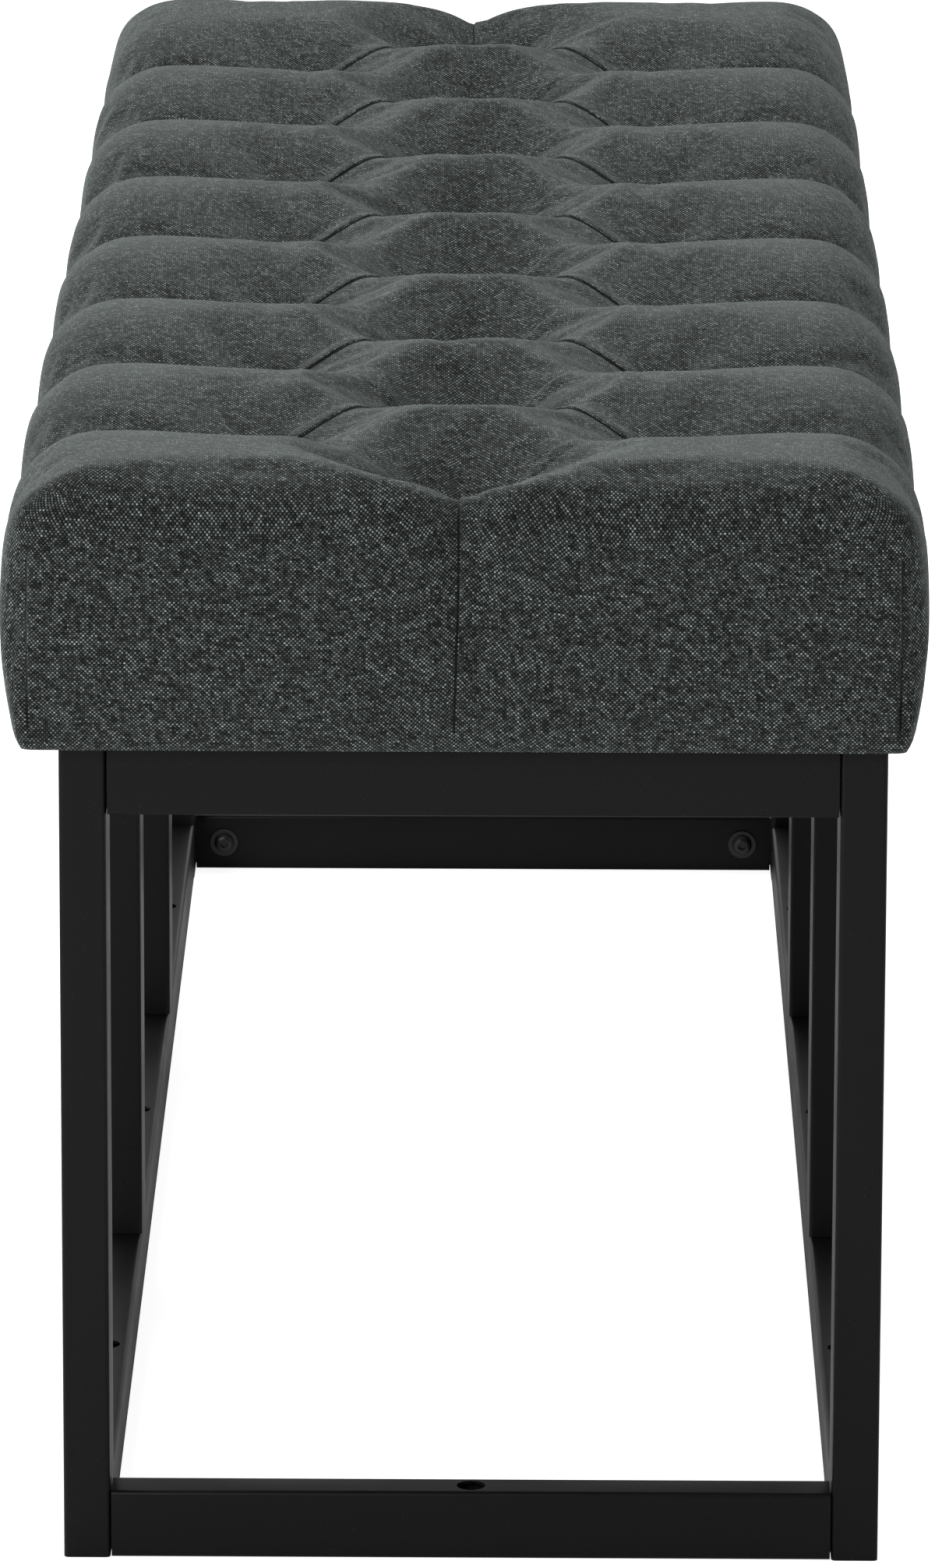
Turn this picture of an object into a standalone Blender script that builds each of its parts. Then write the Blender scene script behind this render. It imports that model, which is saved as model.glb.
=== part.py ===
"""Entryway bench: a tufted seat on a bolted frame of rectangular steel tube.

Frame of reference: X across the bench, Y along it, Z up, in metres.  The origin is on the floor under the
middle of the bench.  The "near" end is at -Y, the "left" side is at -X.

Two welded side frames (legs and long rails) are joined by four cross rails.  Each cross rail slips over a
stub on the leg at each end and is bolted to it from its inner face.  The seat is a board with a foam pad, a
fabric cover and a dust cloth, screwed on from inside the top rails.
"""
import math

import bmesh
import bpy
from mathutils import Vector

# Overall sizes of the frame.
FRAME_WIDTH = 0.350
FRAME_LENGTH = 1.160
FRAME_HEIGHT = 0.360
LEGS_PER_SIDE = 4

# Tube sections: width is across the face seen from the end of the bench.
TUBE_WIDTH = 0.020
LEG_DEPTH = 0.040
RAIL_HEIGHT = 0.030
TUBE_WALL = 0.0015
TUBE_CORNER = 0.0020
BORE_CORNER = 0.0006
CORNER_SEGMENTS = 3
LEG_FOOT_PLATE = 0.0020

# Clearances.
FIT_GAP = 0.0003
RAIL_END_GAP = 0.0005
STUB_CLEARANCE = 0.0008

# Stubs and the socket screws that hold the cross rails on them.
STUB_LENGTH = 0.034
STUB_WALL = 0.0030
BOLT_INSET = 0.0155
BOLT_RADIUS = 0.0030
BOLT_LENGTH = 0.0100
BOLT_HEAD_RADIUS = 0.00525
BOLT_HEAD_HEIGHT = 0.0033
BOLT_SOCKET_ACROSS_FLATS = 0.0040
BOLT_SOCKET_DEPTH = 0.0020
WASHER_RADIUS = 0.0075
WASHER_THICKNESS = 0.0012

# Holes for the seat screws: a wide one for the driver and a small one for the screw.
ACCESS_HOLE_RADIUS = 0.00625
SCREW_HOLE_RADIUS = 0.0028
SEAT_SCREW_RADIUS = 0.0021
SEAT_SCREW_HEAD_RADIUS = 0.0042
SEAT_SCREW_HEAD_HEIGHT = 0.0026
SEAT_SCREW_GRIP = 0.0095
SEAT_SCREW_TIP = 0.0030
PILOT_SPARE_DEPTH = 0.0006

# Seat.
SEAT_OVERHANG_SIDE = 0.0200
SEAT_OVERHANG_END = 0.0140
SEAT_HEIGHT = 0.1165
SEAT_CORNER_RADIUS = 0.022
SEAT_TOP_RADIUS = 0.019
SEAT_BOTTOM_RADIUS = 0.008
DUST_CLOTH_THICKNESS = 0.0006
DUST_CLOTH_MARGIN = 0.014
COVER_THICKNESS = 0.0012
COVER_REACH_OVER_FRAME = 0.0040
BOARD_THICKNESS = 0.012
BOARD_MARGIN = 0.010

ROUND_SIDES = 16
HOLE_SIDES = 16
PILOT_HOLE_SIDES = 10

# Heights and places that follow from the sizes above.
HALF_WIDTH = FRAME_WIDTH / 2
HALF_LENGTH = FRAME_LENGTH / 2
LEG_X = HALF_WIDTH - TUBE_WIDTH / 2
END_LEG_Y = HALF_LENGTH - LEG_DEPTH / 2
CROSS_RAIL_Y = HALF_LENGTH - TUBE_WIDTH / 2
RAIL_MIDDLE = {"bottom": RAIL_HEIGHT / 2, "top": FRAME_HEIGHT - RAIL_HEIGHT / 2}
LEG_PITCH = 2 * END_LEG_Y / (LEGS_PER_SIDE - 1)
CROSS_RAIL_LENGTH = FRAME_WIDTH - 2 * TUBE_WIDTH - 2 * RAIL_END_GAP
BOLT_X = HALF_WIDTH - TUBE_WIDTH - BOLT_INSET

DUST_CLOTH_BOTTOM = FRAME_HEIGHT + FIT_GAP
COVER_BOTTOM = DUST_CLOTH_BOTTOM + DUST_CLOTH_THICKNESS + FIT_GAP
BOARD_BOTTOM = COVER_BOTTOM + COVER_THICKNESS + FIT_GAP
FOAM_BOTTOM = BOARD_BOTTOM + BOARD_THICKNESS + FIT_GAP
SEAT_TOP = FRAME_HEIGHT + SEAT_HEIGHT
SEAT_WIDTH = FRAME_WIDTH + 2 * SEAT_OVERHANG_SIDE
SEAT_LENGTH = FRAME_LENGTH + 2 * SEAT_OVERHANG_END
COVER_TURN_UNDER = SEAT_OVERHANG_END - SEAT_BOTTOM_RADIUS + COVER_REACH_OVER_FRAME
SEAT_SCREW_SEAT = FRAME_HEIGHT - TUBE_WALL - FIT_GAP

SIDES = {"left": -1, "right": 1}
ENDS = {"near": -1, "far": 1}
LEVELS = ("bottom", "top")


def clear_scene():
    for thing in list(bpy.data.objects):
        bpy.data.objects.remove(thing, do_unlink=True)


def new_collection(name):
    collection = bpy.data.collections.new(name)
    bpy.context.scene.collection.children.link(collection)
    return collection


def new_material(name, colour, roughness, metallic):
    material = bpy.data.materials.new(name)
    material.use_nodes = True
    shader = material.node_tree.nodes["Principled BSDF"]
    shader.inputs["Base Color"].default_value = (*colour, 1.0)
    shader.inputs["Roughness"].default_value = roughness
    shader.inputs["Metallic"].default_value = metallic
    material.diffuse_color = (*colour, 1.0)
    return material


clear_scene()
BENCH = new_collection("entryway_bench")
CUTTERS = new_collection("cutters")
POWDER_COAT = new_material("powder_coat", (0.014, 0.014, 0.015), 0.36, 0.0)
ZINC_STEEL = new_material("zinc_steel", (0.42, 0.42, 0.43), 0.38, 1.0)
BLACK_BOLT = new_material("black_bolt", (0.016, 0.016, 0.017), 0.42, 0.6)
PLYWOOD = new_material("plywood", (0.56, 0.41, 0.25), 0.70, 0.0)
FOAM = new_material("foam", (0.78, 0.74, 0.62), 0.95, 0.0)
WOVEN_FABRIC = new_material("woven_fabric", (0.060, 0.072, 0.070), 0.92, 0.0)
DUST_CLOTH = new_material("dust_cloth", (0.020, 0.020, 0.021), 0.95, 0.0)


def finish_object(thing, name, collection, material=None):
    """Name an object, put it in its collection and give it its material."""
    thing.name = name
    thing.data.name = name
    for old in list(thing.users_collection):
        old.objects.unlink(thing)
    collection.objects.link(thing)
    if material is not None:
        thing.data.materials.clear()
        thing.data.materials.append(material)
    return thing


def object_from_bmesh(bm, name, collection, material=None, location=(0, 0, 0)):
    mesh = bpy.data.meshes.new(name)
    bm.to_mesh(mesh)
    bm.free()
    thing = bpy.data.objects.new(name, mesh)
    thing.location = location
    return finish_object(thing, name, collection, material)


def shade_round(thing, angle=35):
    """Smooth shading with sharp edges kept, for turned pieces."""
    thing.data.shade_smooth()
    thing.data.set_sharp_from_angle(angle=math.radians(angle))


def box_bmesh(size):
    bm = bmesh.new()
    bmesh.ops.create_cube(bm, size=1.0)
    bmesh.ops.scale(bm, vec=Vector(size), verts=bm.verts)
    return bm


def edges_along(bm, axis):
    """The edges of a box that run along one axis (0, 1 or 2)."""
    found = []
    for edge in bm.edges:
        run = edge.verts[1].co - edge.verts[0].co
        if abs(run[axis]) > 0.99 * run.length:
            found.append(edge)
    return found


def edges_at_height(bm, height):
    """The edges of a box that lie in one level plane."""
    return [edge for edge in bm.edges if all(abs(v.co.z - height) < 1e-6 for v in edge.verts)]


def round_edges(bm, edges, radius, segments=CORNER_SEGMENTS):
    bmesh.ops.bevel(
        bm, geom=edges, offset=radius, segments=segments, profile=0.5, affect="EDGES", material=-1
    )


def mark_cutter(cutter):
    cutter.hide_render = True
    cutter.display_type = "WIRE"
    return cutter


def cut(thing, cutter):
    """Take the cutter's shape out of an object."""
    boolean = thing.modifiers.new(cutter.name, "BOOLEAN")
    boolean.operation = "DIFFERENCE"
    boolean.solver = "EXACT"
    boolean.object = cutter


def rod_cutter(name, centre, axis, radius, length, sides=HOLE_SIDES):
    """A round cutter along X, Y or Z."""
    turn = {"X": (0, math.pi / 2, 0), "Y": (math.pi / 2, 0, 0), "Z": (0, 0, 0)}[axis]
    bpy.ops.mesh.primitive_cylinder_add(
        vertices=sides, radius=radius, depth=length, location=centre, rotation=turn
    )
    return mark_cutter(finish_object(bpy.context.active_object, name, CUTTERS))


def box_tube(name, size, axis, wall, centre, material, closed_end=0.0):
    """A rectangular tube along one axis, open at its ends.

    closed_end keeps that much material at the lower end of the tube.
    """
    bm = box_bmesh(size)
    round_edges(bm, edges_along(bm, axis), TUBE_CORNER)
    tube = object_from_bmesh(bm, name, BENCH, material, centre)

    bore_size = [extent - 2 * wall for extent in size]
    bore_size[axis] = size[axis] + 2 * wall
    bore_centre = Vector(centre)
    if closed_end:
        bore_centre[axis] += closed_end + wall
    bore = box_bmesh(bore_size)
    round_edges(bore, edges_along(bore, axis), BORE_CORNER, segments=1)
    cutter = object_from_bmesh(bore, name + "_bore", CUTTERS, None, bore_centre)
    cut(tube, mark_cutter(cutter))
    return tube


def add_screw_holes(rail, level, x, y):
    """The driver's access hole in a rail's inward wall, and the screw's hole opposite it."""
    outward = 1 if level == "top" else -1
    middle = RAIL_MIDDLE[level]
    reach = RAIL_HEIGHT / 2 - TUBE_WALL / 2
    label = f"{rail.name}_{len(rail.modifiers)}"
    access = (x, y, middle - outward * reach)
    screw = (x, y, middle + outward * reach)
    cut(rail, rod_cutter(label + "_access", access, "Z", ACCESS_HOLE_RADIUS, 4 * TUBE_WALL))
    cut(rail, rod_cutter(label + "_screw", screw, "Z", SCREW_HOLE_RADIUS, 4 * TUBE_WALL))


def leg_positions():
    return [-END_LEG_Y + index * LEG_PITCH for index in range(LEGS_PER_SIDE)]


def bay_middles():
    """The places along a side, half way between neighbouring legs."""
    legs = leg_positions()
    return [(a + b) / 2 for a, b in zip(legs, legs[1:])]


def build_side_frame(side, sign):
    """Legs and long rails of one side, welded together on the real bench."""
    x = sign * LEG_X
    for number, y in enumerate(leg_positions(), start=1):
        at_end = number in (1, LEGS_PER_SIDE)
        height = FRAME_HEIGHT if at_end else FRAME_HEIGHT - 2 * (RAIL_HEIGHT + FIT_GAP)
        box_tube(
            f"leg_{side}_{number}",
            (TUBE_WIDTH, LEG_DEPTH, height),
            2,
            TUBE_WALL,
            (x, y, FRAME_HEIGHT / 2),
            POWDER_COAT,
            closed_end=LEG_FOOT_PLATE if at_end else 0.0,
        )
    rail_length = FRAME_LENGTH - 2 * (LEG_DEPTH + FIT_GAP)
    for level in LEVELS:
        rail = box_tube(
            f"long_rail_{side}_{level}",
            (TUBE_WIDTH, rail_length, RAIL_HEIGHT),
            1,
            TUBE_WALL,
            (x, 0, RAIL_MIDDLE[level]),
            POWDER_COAT,
        )
        for y in bay_middles():
            add_screw_holes(rail, level, x, y)


def build_cross_rail(end, sign, level):
    y = sign * CROSS_RAIL_Y
    middle = RAIL_MIDDLE[level]
    rail = box_tube(
        f"cross_rail_{end}_{level}",
        (CROSS_RAIL_LENGTH, TUBE_WIDTH, RAIL_HEIGHT),
        0,
        TUBE_WALL,
        (0, y, middle),
        POWDER_COAT,
    )
    add_screw_holes(rail, level, 0, y)
    inner_wall = y - sign * (TUBE_WIDTH - TUBE_WALL) / 2
    for side, side_sign in SIDES.items():
        hole = rod_cutter(
            f"{rail.name}_{side}_bolt_hole",
            (side_sign * BOLT_X, inner_wall, middle),
            "Y",
            BOLT_RADIUS + FIT_GAP,
            4 * TUBE_WALL,
        )
        cut(rail, hole)


def build_stub(side, side_sign, end, end_sign, level):
    """The short tube on a leg that carries one end of a cross rail."""
    size = (
        STUB_LENGTH,
        TUBE_WIDTH - 2 * (TUBE_WALL + STUB_CLEARANCE),
        RAIL_HEIGHT - 2 * (TUBE_WALL + STUB_CLEARANCE),
    )
    x = side_sign * (HALF_WIDTH - TUBE_WIDTH - FIT_GAP - STUB_LENGTH / 2)
    y = end_sign * CROSS_RAIL_Y
    name = f"stub_{side}_{end}_{level}"
    stub = box_tube(name, size, 0, STUB_WALL, (x, y, RAIL_MIDDLE[level]), POWDER_COAT)
    wall_middle = y - end_sign * (size[1] - STUB_WALL) / 2
    hole = rod_cutter(
        name + "_thread",
        (side_sign * BOLT_X, wall_middle, RAIL_MIDDLE[level]),
        "Y",
        BOLT_RADIUS + FIT_GAP,
        2 * STUB_WALL,
    )
    cut(stub, hole)


def turned_bmesh(profile):
    """Turn a profile of (radius, height) points, drawn from the top down, about Z into a closed solid."""
    bm = bmesh.new()
    points = [bm.verts.new((radius, 0, height)) for radius, height in profile]
    line = [bm.edges.new(pair) for pair in zip(points, points[1:])]
    bmesh.ops.spin(
        bm,
        geom=points + line,
        cent=(0, 0, 0),
        axis=(0, 0, 1),
        angle=2 * math.pi,
        steps=ROUND_SIDES,
        use_merge=True,
    )
    bmesh.ops.remove_doubles(bm, verts=bm.verts, dist=1e-5)
    bmesh.ops.recalc_face_normals(bm, faces=bm.faces)
    return bm


def dome_points(radius, flat_radius, base, height, steps=3):
    """Points of a low domed head, from its flat top out to its rim."""
    points = []
    for step in range(steps + 1):
        turn = math.pi / 2 * step / steps
        reach = flat_radius + (radius - flat_radius) * math.sin(turn)
        points.append((reach, base + height * math.cos(turn)))
    return points


def build_bolt_meshes():
    """Shared meshes of the socket screw and its washer, standing on Z with the joint face at zero."""
    under_head = WASHER_THICKNESS + 2 * FIT_GAP
    socket_rim = BOLT_SOCKET_ACROSS_FLATS / 2 / math.cos(math.pi / 6)
    edge_height = BOLT_HEAD_HEIGHT * 0.25
    head = dome_points(
        BOLT_HEAD_RADIUS,
        socket_rim + 0.0006,
        under_head + edge_height,
        BOLT_HEAD_HEIGHT - edge_height,
    )
    tip = under_head - BOLT_LENGTH
    profile = [(0, under_head + BOLT_HEAD_HEIGHT)] + head
    profile += [
        (BOLT_HEAD_RADIUS, under_head),
        (BOLT_RADIUS, under_head),
        (BOLT_RADIUS, tip + 0.0006),
        (BOLT_RADIUS - 0.0006, tip),
        (0, tip),
    ]
    bolt = object_from_bmesh(turned_bmesh(profile), "bolt_blank", CUTTERS)
    hexagon = bmesh.new()
    bmesh.ops.create_cone(
        hexagon,
        cap_ends=True,
        segments=6,
        radius1=socket_rim,
        radius2=socket_rim,
        depth=2 * BOLT_SOCKET_DEPTH,
    )
    socket = object_from_bmesh(
        hexagon, "bolt_socket", CUTTERS, None, (0, 0, under_head + BOLT_HEAD_HEIGHT)
    )
    cut(bolt, mark_cutter(socket))
    bpy.context.view_layer.update()
    graph = bpy.context.evaluated_depsgraph_get()
    bolt_mesh = bpy.data.meshes.new_from_object(bolt.evaluated_get(graph))
    bpy.data.objects.remove(bolt, do_unlink=True)
    bpy.data.objects.remove(socket, do_unlink=True)

    inner = BOLT_RADIUS + FIT_GAP
    ring = [
        (inner, FIT_GAP + WASHER_THICKNESS),
        (WASHER_RADIUS, FIT_GAP + WASHER_THICKNESS),
        (WASHER_RADIUS, FIT_GAP),
        (inner, FIT_GAP),
        (inner, FIT_GAP + WASHER_THICKNESS),
    ]
    washer = object_from_bmesh(turned_bmesh(ring), "washer_blank", CUTTERS)
    washer_mesh = washer.data
    bpy.data.objects.remove(washer, do_unlink=True)
    return bolt_mesh, washer_mesh


def place_fastener(name, mesh, material, centre, rotation):
    """One copy of a shared fastener mesh."""
    mesh.materials.clear()
    mesh.materials.append(material)
    thing = bpy.data.objects.new(name, mesh)
    thing.location = centre
    thing.rotation_euler = rotation
    BENCH.objects.link(thing)
    shade_round(thing)


def build_rail_joint(bolt_mesh, washer_mesh, side, side_sign, end, end_sign, level):
    """Stub, socket screw and washer at one end of a cross rail."""
    build_stub(side, side_sign, end, end_sign, level)
    face_y = end_sign * (HALF_LENGTH - TUBE_WIDTH)
    centre = (side_sign * BOLT_X, face_y, RAIL_MIDDLE[level])
    towards_middle = (end_sign * math.pi / 2, 0, 0)
    label = f"{side}_{end}_{level}"
    place_fastener("bolt_" + label, bolt_mesh, BLACK_BOLT, centre, towards_middle)
    place_fastener("washer_" + label, washer_mesh, BLACK_BOLT, centre, towards_middle)


def seat_screw_places():
    """Names and plan positions of the seat screws, one in each top rail bay and each top cross rail."""
    places = []
    for side, sign in SIDES.items():
        for number, y in enumerate(bay_middles(), start=1):
            places.append((f"{side}_{number}", sign * LEG_X, y))
    for end, sign in ENDS.items():
        places.append((end, 0.0, sign * CROSS_RAIL_Y))
    return places


def build_seat_screws():
    """Pan-head wood screws, heads up against the inside of the top rails' upper wall."""
    bite = BOARD_BOTTOM + SEAT_SCREW_GRIP - SEAT_SCREW_SEAT
    edge_height = SEAT_SCREW_HEAD_HEIGHT * 0.3
    dome_height = SEAT_SCREW_HEAD_HEIGHT - edge_height
    head = dome_points(SEAT_SCREW_HEAD_RADIUS, SEAT_SCREW_HEAD_RADIUS / 3, edge_height, dome_height, 2)
    profile = [
        (0, bite),
        (SEAT_SCREW_RADIUS, bite - SEAT_SCREW_TIP),
        (SEAT_SCREW_RADIUS, 0),
        (SEAT_SCREW_HEAD_RADIUS, 0),
    ]
    profile += [(radius, -height) for radius, height in reversed(head)]
    profile.append((0, -SEAT_SCREW_HEAD_HEIGHT))
    blank = object_from_bmesh(turned_bmesh(profile), "seat_screw_blank", CUTTERS)
    mesh = blank.data
    bpy.data.objects.remove(blank, do_unlink=True)
    for label, x, y in seat_screw_places():
        place_fastener("seat_screw_" + label, mesh, ZINC_STEEL, (x, y, SEAT_SCREW_SEAT), (0, 0, 0))


def bore_for_seat_screws(thing, bottom, height, radius):
    """Holes for the seat screws through a flat piece, or into its underside."""
    for label, x, y in seat_screw_places():
        centre = (x, y, bottom + height / 2)
        hole = rod_cutter(f"{thing.name}_{label}", centre, "Z", radius, height, PILOT_HOLE_SIDES)
        cut(thing, hole)


def build_dust_cloth():
    size = (
        SEAT_WIDTH - 2 * DUST_CLOTH_MARGIN,
        SEAT_LENGTH - 2 * DUST_CLOTH_MARGIN,
        DUST_CLOTH_THICKNESS,
    )
    cloth = object_from_bmesh(
        box_bmesh(size),
        "dust_cloth",
        BENCH,
        DUST_CLOTH,
        (0, 0, DUST_CLOTH_BOTTOM + DUST_CLOTH_THICKNESS / 2),
    )
    bore_for_seat_screws(
        cloth,
        DUST_CLOTH_BOTTOM - DUST_CLOTH_THICKNESS,
        3 * DUST_CLOTH_THICKNESS,
        SEAT_SCREW_RADIUS + FIT_GAP,
    )


def build_seat_board():
    margin = SEAT_BOTTOM_RADIUS + COVER_THICKNESS
    size = (
        SEAT_WIDTH - 2 * max(margin, BOARD_MARGIN),
        SEAT_LENGTH - 2 * max(margin, BOARD_MARGIN),
        BOARD_THICKNESS,
    )
    bm = box_bmesh(size)
    round_edges(bm, edges_along(bm, 2), SEAT_CORNER_RADIUS / 2)
    board = object_from_bmesh(
        bm, "seat_board", BENCH, PLYWOOD, (0, 0, BOARD_BOTTOM + BOARD_THICKNESS / 2)
    )
    depth = SEAT_SCREW_GRIP + PILOT_SPARE_DEPTH
    bore_for_seat_screws(board, BOARD_BOTTOM - depth, 2 * depth, SEAT_SCREW_RADIUS + FIT_GAP)


def build_foam_pad():
    inset = COVER_THICKNESS + FIT_GAP
    top = SEAT_TOP - inset
    height = top - FOAM_BOTTOM
    bm = box_bmesh((SEAT_WIDTH - 2 * inset, SEAT_LENGTH - 2 * inset, height))
    round_edges(bm, edges_along(bm, 2), SEAT_CORNER_RADIUS - inset)
    round_edges(bm, edges_at_height(bm, height / 2), SEAT_TOP_RADIUS - inset)
    object_from_bmesh(bm, "foam_pad", BENCH, FOAM, (0, 0, FOAM_BOTTOM + height / 2))


def build_seat_cover():
    """The fabric skin: one sheet over the pad, down the sides and a short way under the board."""
    height = SEAT_TOP - COVER_BOTTOM
    bm = box_bmesh((SEAT_WIDTH, SEAT_LENGTH, height))
    round_edges(bm, edges_along(bm, 2), SEAT_CORNER_RADIUS)
    round_edges(bm, edges_at_height(bm, height / 2), SEAT_TOP_RADIUS)
    round_edges(bm, edges_at_height(bm, -height / 2), SEAT_BOTTOM_RADIUS, segments=3)
    underside = min(bm.faces, key=lambda face: face.calc_center_median().z)
    bmesh.ops.inset_region(bm, faces=[underside], thickness=COVER_TURN_UNDER, use_even_offset=True)
    bmesh.ops.delete(bm, geom=[underside], context="FACES_ONLY")
    cover = object_from_bmesh(
        bm, "seat_cover", BENCH, WOVEN_FABRIC, (0, 0, COVER_BOTTOM + height / 2)
    )
    wall = cover.modifiers.new("cloth_thickness", "SOLIDIFY")
    wall.thickness = COVER_THICKNESS
    wall.offset = -1
    wall.use_even_offset = True


def build_bench():
    for side, sign in SIDES.items():
        build_side_frame(side, sign)
    bolt_mesh, washer_mesh = build_bolt_meshes()
    for end, end_sign in ENDS.items():
        for level in LEVELS:
            build_cross_rail(end, end_sign, level)
            for side, side_sign in SIDES.items():
                build_rail_joint(bolt_mesh, washer_mesh, side, side_sign, end, end_sign, level)
    build_dust_cloth()
    build_seat_board()
    build_foam_pad()
    build_seat_cover()
    build_seat_screws()


build_bench()
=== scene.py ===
import math
from collections import namedtuple

import bmesh
import bpy
import numpy as np
from mathutils import Matrix, Vector
from mathutils.bvhtree import BVHTree
from mathutils.interpolate import poly_3d_calc


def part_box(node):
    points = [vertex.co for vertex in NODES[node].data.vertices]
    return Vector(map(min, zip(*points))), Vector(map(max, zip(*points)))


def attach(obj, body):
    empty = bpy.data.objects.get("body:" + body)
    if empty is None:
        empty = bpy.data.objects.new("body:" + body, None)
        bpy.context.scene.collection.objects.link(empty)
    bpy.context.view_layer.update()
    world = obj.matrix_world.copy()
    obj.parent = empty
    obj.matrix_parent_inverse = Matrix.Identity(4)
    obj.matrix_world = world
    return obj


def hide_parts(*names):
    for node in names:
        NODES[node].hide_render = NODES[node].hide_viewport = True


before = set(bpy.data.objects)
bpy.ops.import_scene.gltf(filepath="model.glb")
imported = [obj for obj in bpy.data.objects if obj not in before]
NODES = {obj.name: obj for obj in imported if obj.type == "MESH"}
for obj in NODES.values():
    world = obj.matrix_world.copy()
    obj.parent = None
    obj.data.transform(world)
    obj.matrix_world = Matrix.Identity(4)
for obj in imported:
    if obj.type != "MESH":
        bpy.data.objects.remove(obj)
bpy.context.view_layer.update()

# ---------------------------------------------------------------- sizes, in metres

SEAT_LOW, SEAT_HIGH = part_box("seat_cover")
SEAT_LENGTH = SEAT_HIGH.y - SEAT_LOW.y
SEAT_BASE = SEAT_LOW.z
SEAT_LOFT = SEAT_HIGH.z - SEAT_LOW.z

COVER_SHIFT = -0.0040        # the stuffed cover sits a little to the left of the frame
COVER_HALF_WIDTH = 0.1885    # before the filling pushes the sides out
COVER_HALF_LENGTH = SEAT_LENGTH / 2 - 0.0010
SIDE_SHOULDER = 0.0310       # how far the rounded edge reaches in from a long side
END_SHOULDER = 0.0190        # and in from an end
SHOULDER_DROP = 0.0240
HEM_RADIUS = 0.0070
SIDE_BULGE = 0.0045
END_BULGE = 0.0020
CORNER_POWER = 5.0           # how square the upright corners are
GRID = 0.0050                # size of one face before the last subdivision
SIM_FRAMES = 20
SWELL_CAP = 0.0035           # the most that the filling pushes the cover out
TOP_PANEL, SIDE_PANEL, END_PANEL = 0, 1, 2

PILLOWS = 8
PITCH = SEAT_LENGTH / PILLOWS
ROW_STEP = 2 * COVER_HALF_LENGTH / PILLOWS   # from one pillow to the next on the cover's flat cut
TUFT_SIDE = 0.0885           # the outer rows of tufts, from the middle row
TUFT_CENTRE = -0.0015        # the middle row, from the middle of the cover
TUFT_DEPTH = 0.0450          # the middle row
OUTER_TUFT_DEPTH = 0.0260
DIAGONAL_DEPTH = 0.0050
SIDE_PLEAT_DEPTH = 0.0230
END_PLEAT_DEPTH = 0.0110
PLEAT_REACH = PITCH / 2
DIAGONAL_REACH = 0.0200
TUFT_REACH = 0.0720
PULL_SHARPNESS = 260.0       # how abruptly one pulled-in line gives way to the next
HELD_REACH = 0.0050          # how far from a pleat the simulation still holds the cloth
SHALLOW_PLEAT = 0.0080       # lines less deep than this are free to move
CREST_SHARE = 0.955          # of the seat's loft, at the middle of its length
CREST_LEAN = -0.0038         # the near end stands higher than the far one
CREST_LIFT = 0.0035          # and both ends stand higher than the middle
TABLE_STEP = 0.0020
TABLE_HALF_WIDTH = 0.3600
TABLE_HALF_LENGTH = 0.7600
# Across a folded edge: distance from the line, height over the cover, and how deep in shadow it lies.
FOLD_PROFILE = ((-0.0011, -0.0006, 1), (-0.0008, 0.0003, 1), (0.0000, 0.0004, 1), (0.0003, 0.0012, 0),
                (0.0010, 0.0016, 0), (0.0024, 0.0015, 0), (0.0044, 0.0010, 0), (0.0068, 0.0002, 0),
                (0.0090, -0.0008, 0))
FOLD_CLOTH = 0.0005
FOLD_SINK = 0.0022           # how deep a fold's two ends sink into the cover
FOLD_START = 0.0200          # the fold rays start this far above the board
BEND_START = 0.0450          # and this far under the loft where they turn over an edge
CORNER_FOLD_TOP = 0.0920     # above the board
CORNER_FOLD_FALL = 0.0895
CORNER_FOLD_INSET = 0.0060

YARN_PITCH = 0.0009
YARN_WANDER = 0.10
WANDER_SCALE = 160.0
CLOUD_SCALE = 130.0
SHARP_ANGLE = 38             # degrees: edges of the tubes that turn more than this stay crisp

DUST_CLOTH_SAG = 0.0011
DUST_CLOTH_RIPPLE = 0.0005
DUST_CLOTH_THICKNESS = 0.0002

CAMERA_PLACE = (0.0196, -4.7094, 1.4190)
CAMERA_TILT, CAMERA_TURN, CAMERA_ROLL = 14.5857, 0.3052, 0.1775   # degrees
CAMERA_LENS = 232.385        # millimetres, on a sensor 36 mm high


# ---------------------------------------------------------------- small helpers

def link(obj):
    bpy.context.scene.collection.objects.link(obj)
    return obj


def object_from_bmesh(bm, name, material):
    """Closes a bmesh into a new object of one material, shaded smooth."""
    mesh = bpy.data.meshes.new(name)
    bm.to_mesh(mesh)
    bm.free()
    mesh.materials.append(material)
    mesh.shade_smooth()
    return link(bpy.data.objects.new(name, mesh))


def fit_on_body(obj, slot, *replaced):
    """Puts a finished piece on the bench and hides the CAD nodes it stands for. The finish's name that it is
    given is not used.
    """
    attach(obj, "root")
    if replaced:
        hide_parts(*replaced)
    return obj


# ---------------------------------------------------------------- node helpers

def wire(tree, socket, value):
    """Feeds an input socket from another socket, or sets it to a plain value."""
    if isinstance(value, bpy.types.NodeSocket):
        tree.links.new(value, socket)
    else:
        socket.default_value = value


def maths(tree, operation, first, second=None, third=None):
    node = tree.nodes.new("ShaderNodeMath")
    node.operation = operation
    for place, value in enumerate((first, second, third)):
        if value is not None:
            wire(tree, node.inputs[place], value)
    return node.outputs[0]


def blend_colours(tree, share, first, second, mode="MIX"):
    node = tree.nodes.new("ShaderNodeMix")
    node.data_type = "RGBA"
    node.blend_type = mode
    wire(tree, node.inputs["Factor"], share)
    wire(tree, node.inputs[6], first)
    wire(tree, node.inputs[7], second)
    return node.outputs[2]


def mix_values(tree, share, first, second):
    node = tree.nodes.new("ShaderNodeMix")
    wire(tree, node.inputs["Factor"], share)
    wire(tree, node.inputs[2], first)
    wire(tree, node.inputs[3], second)
    return node.outputs[0]


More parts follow.
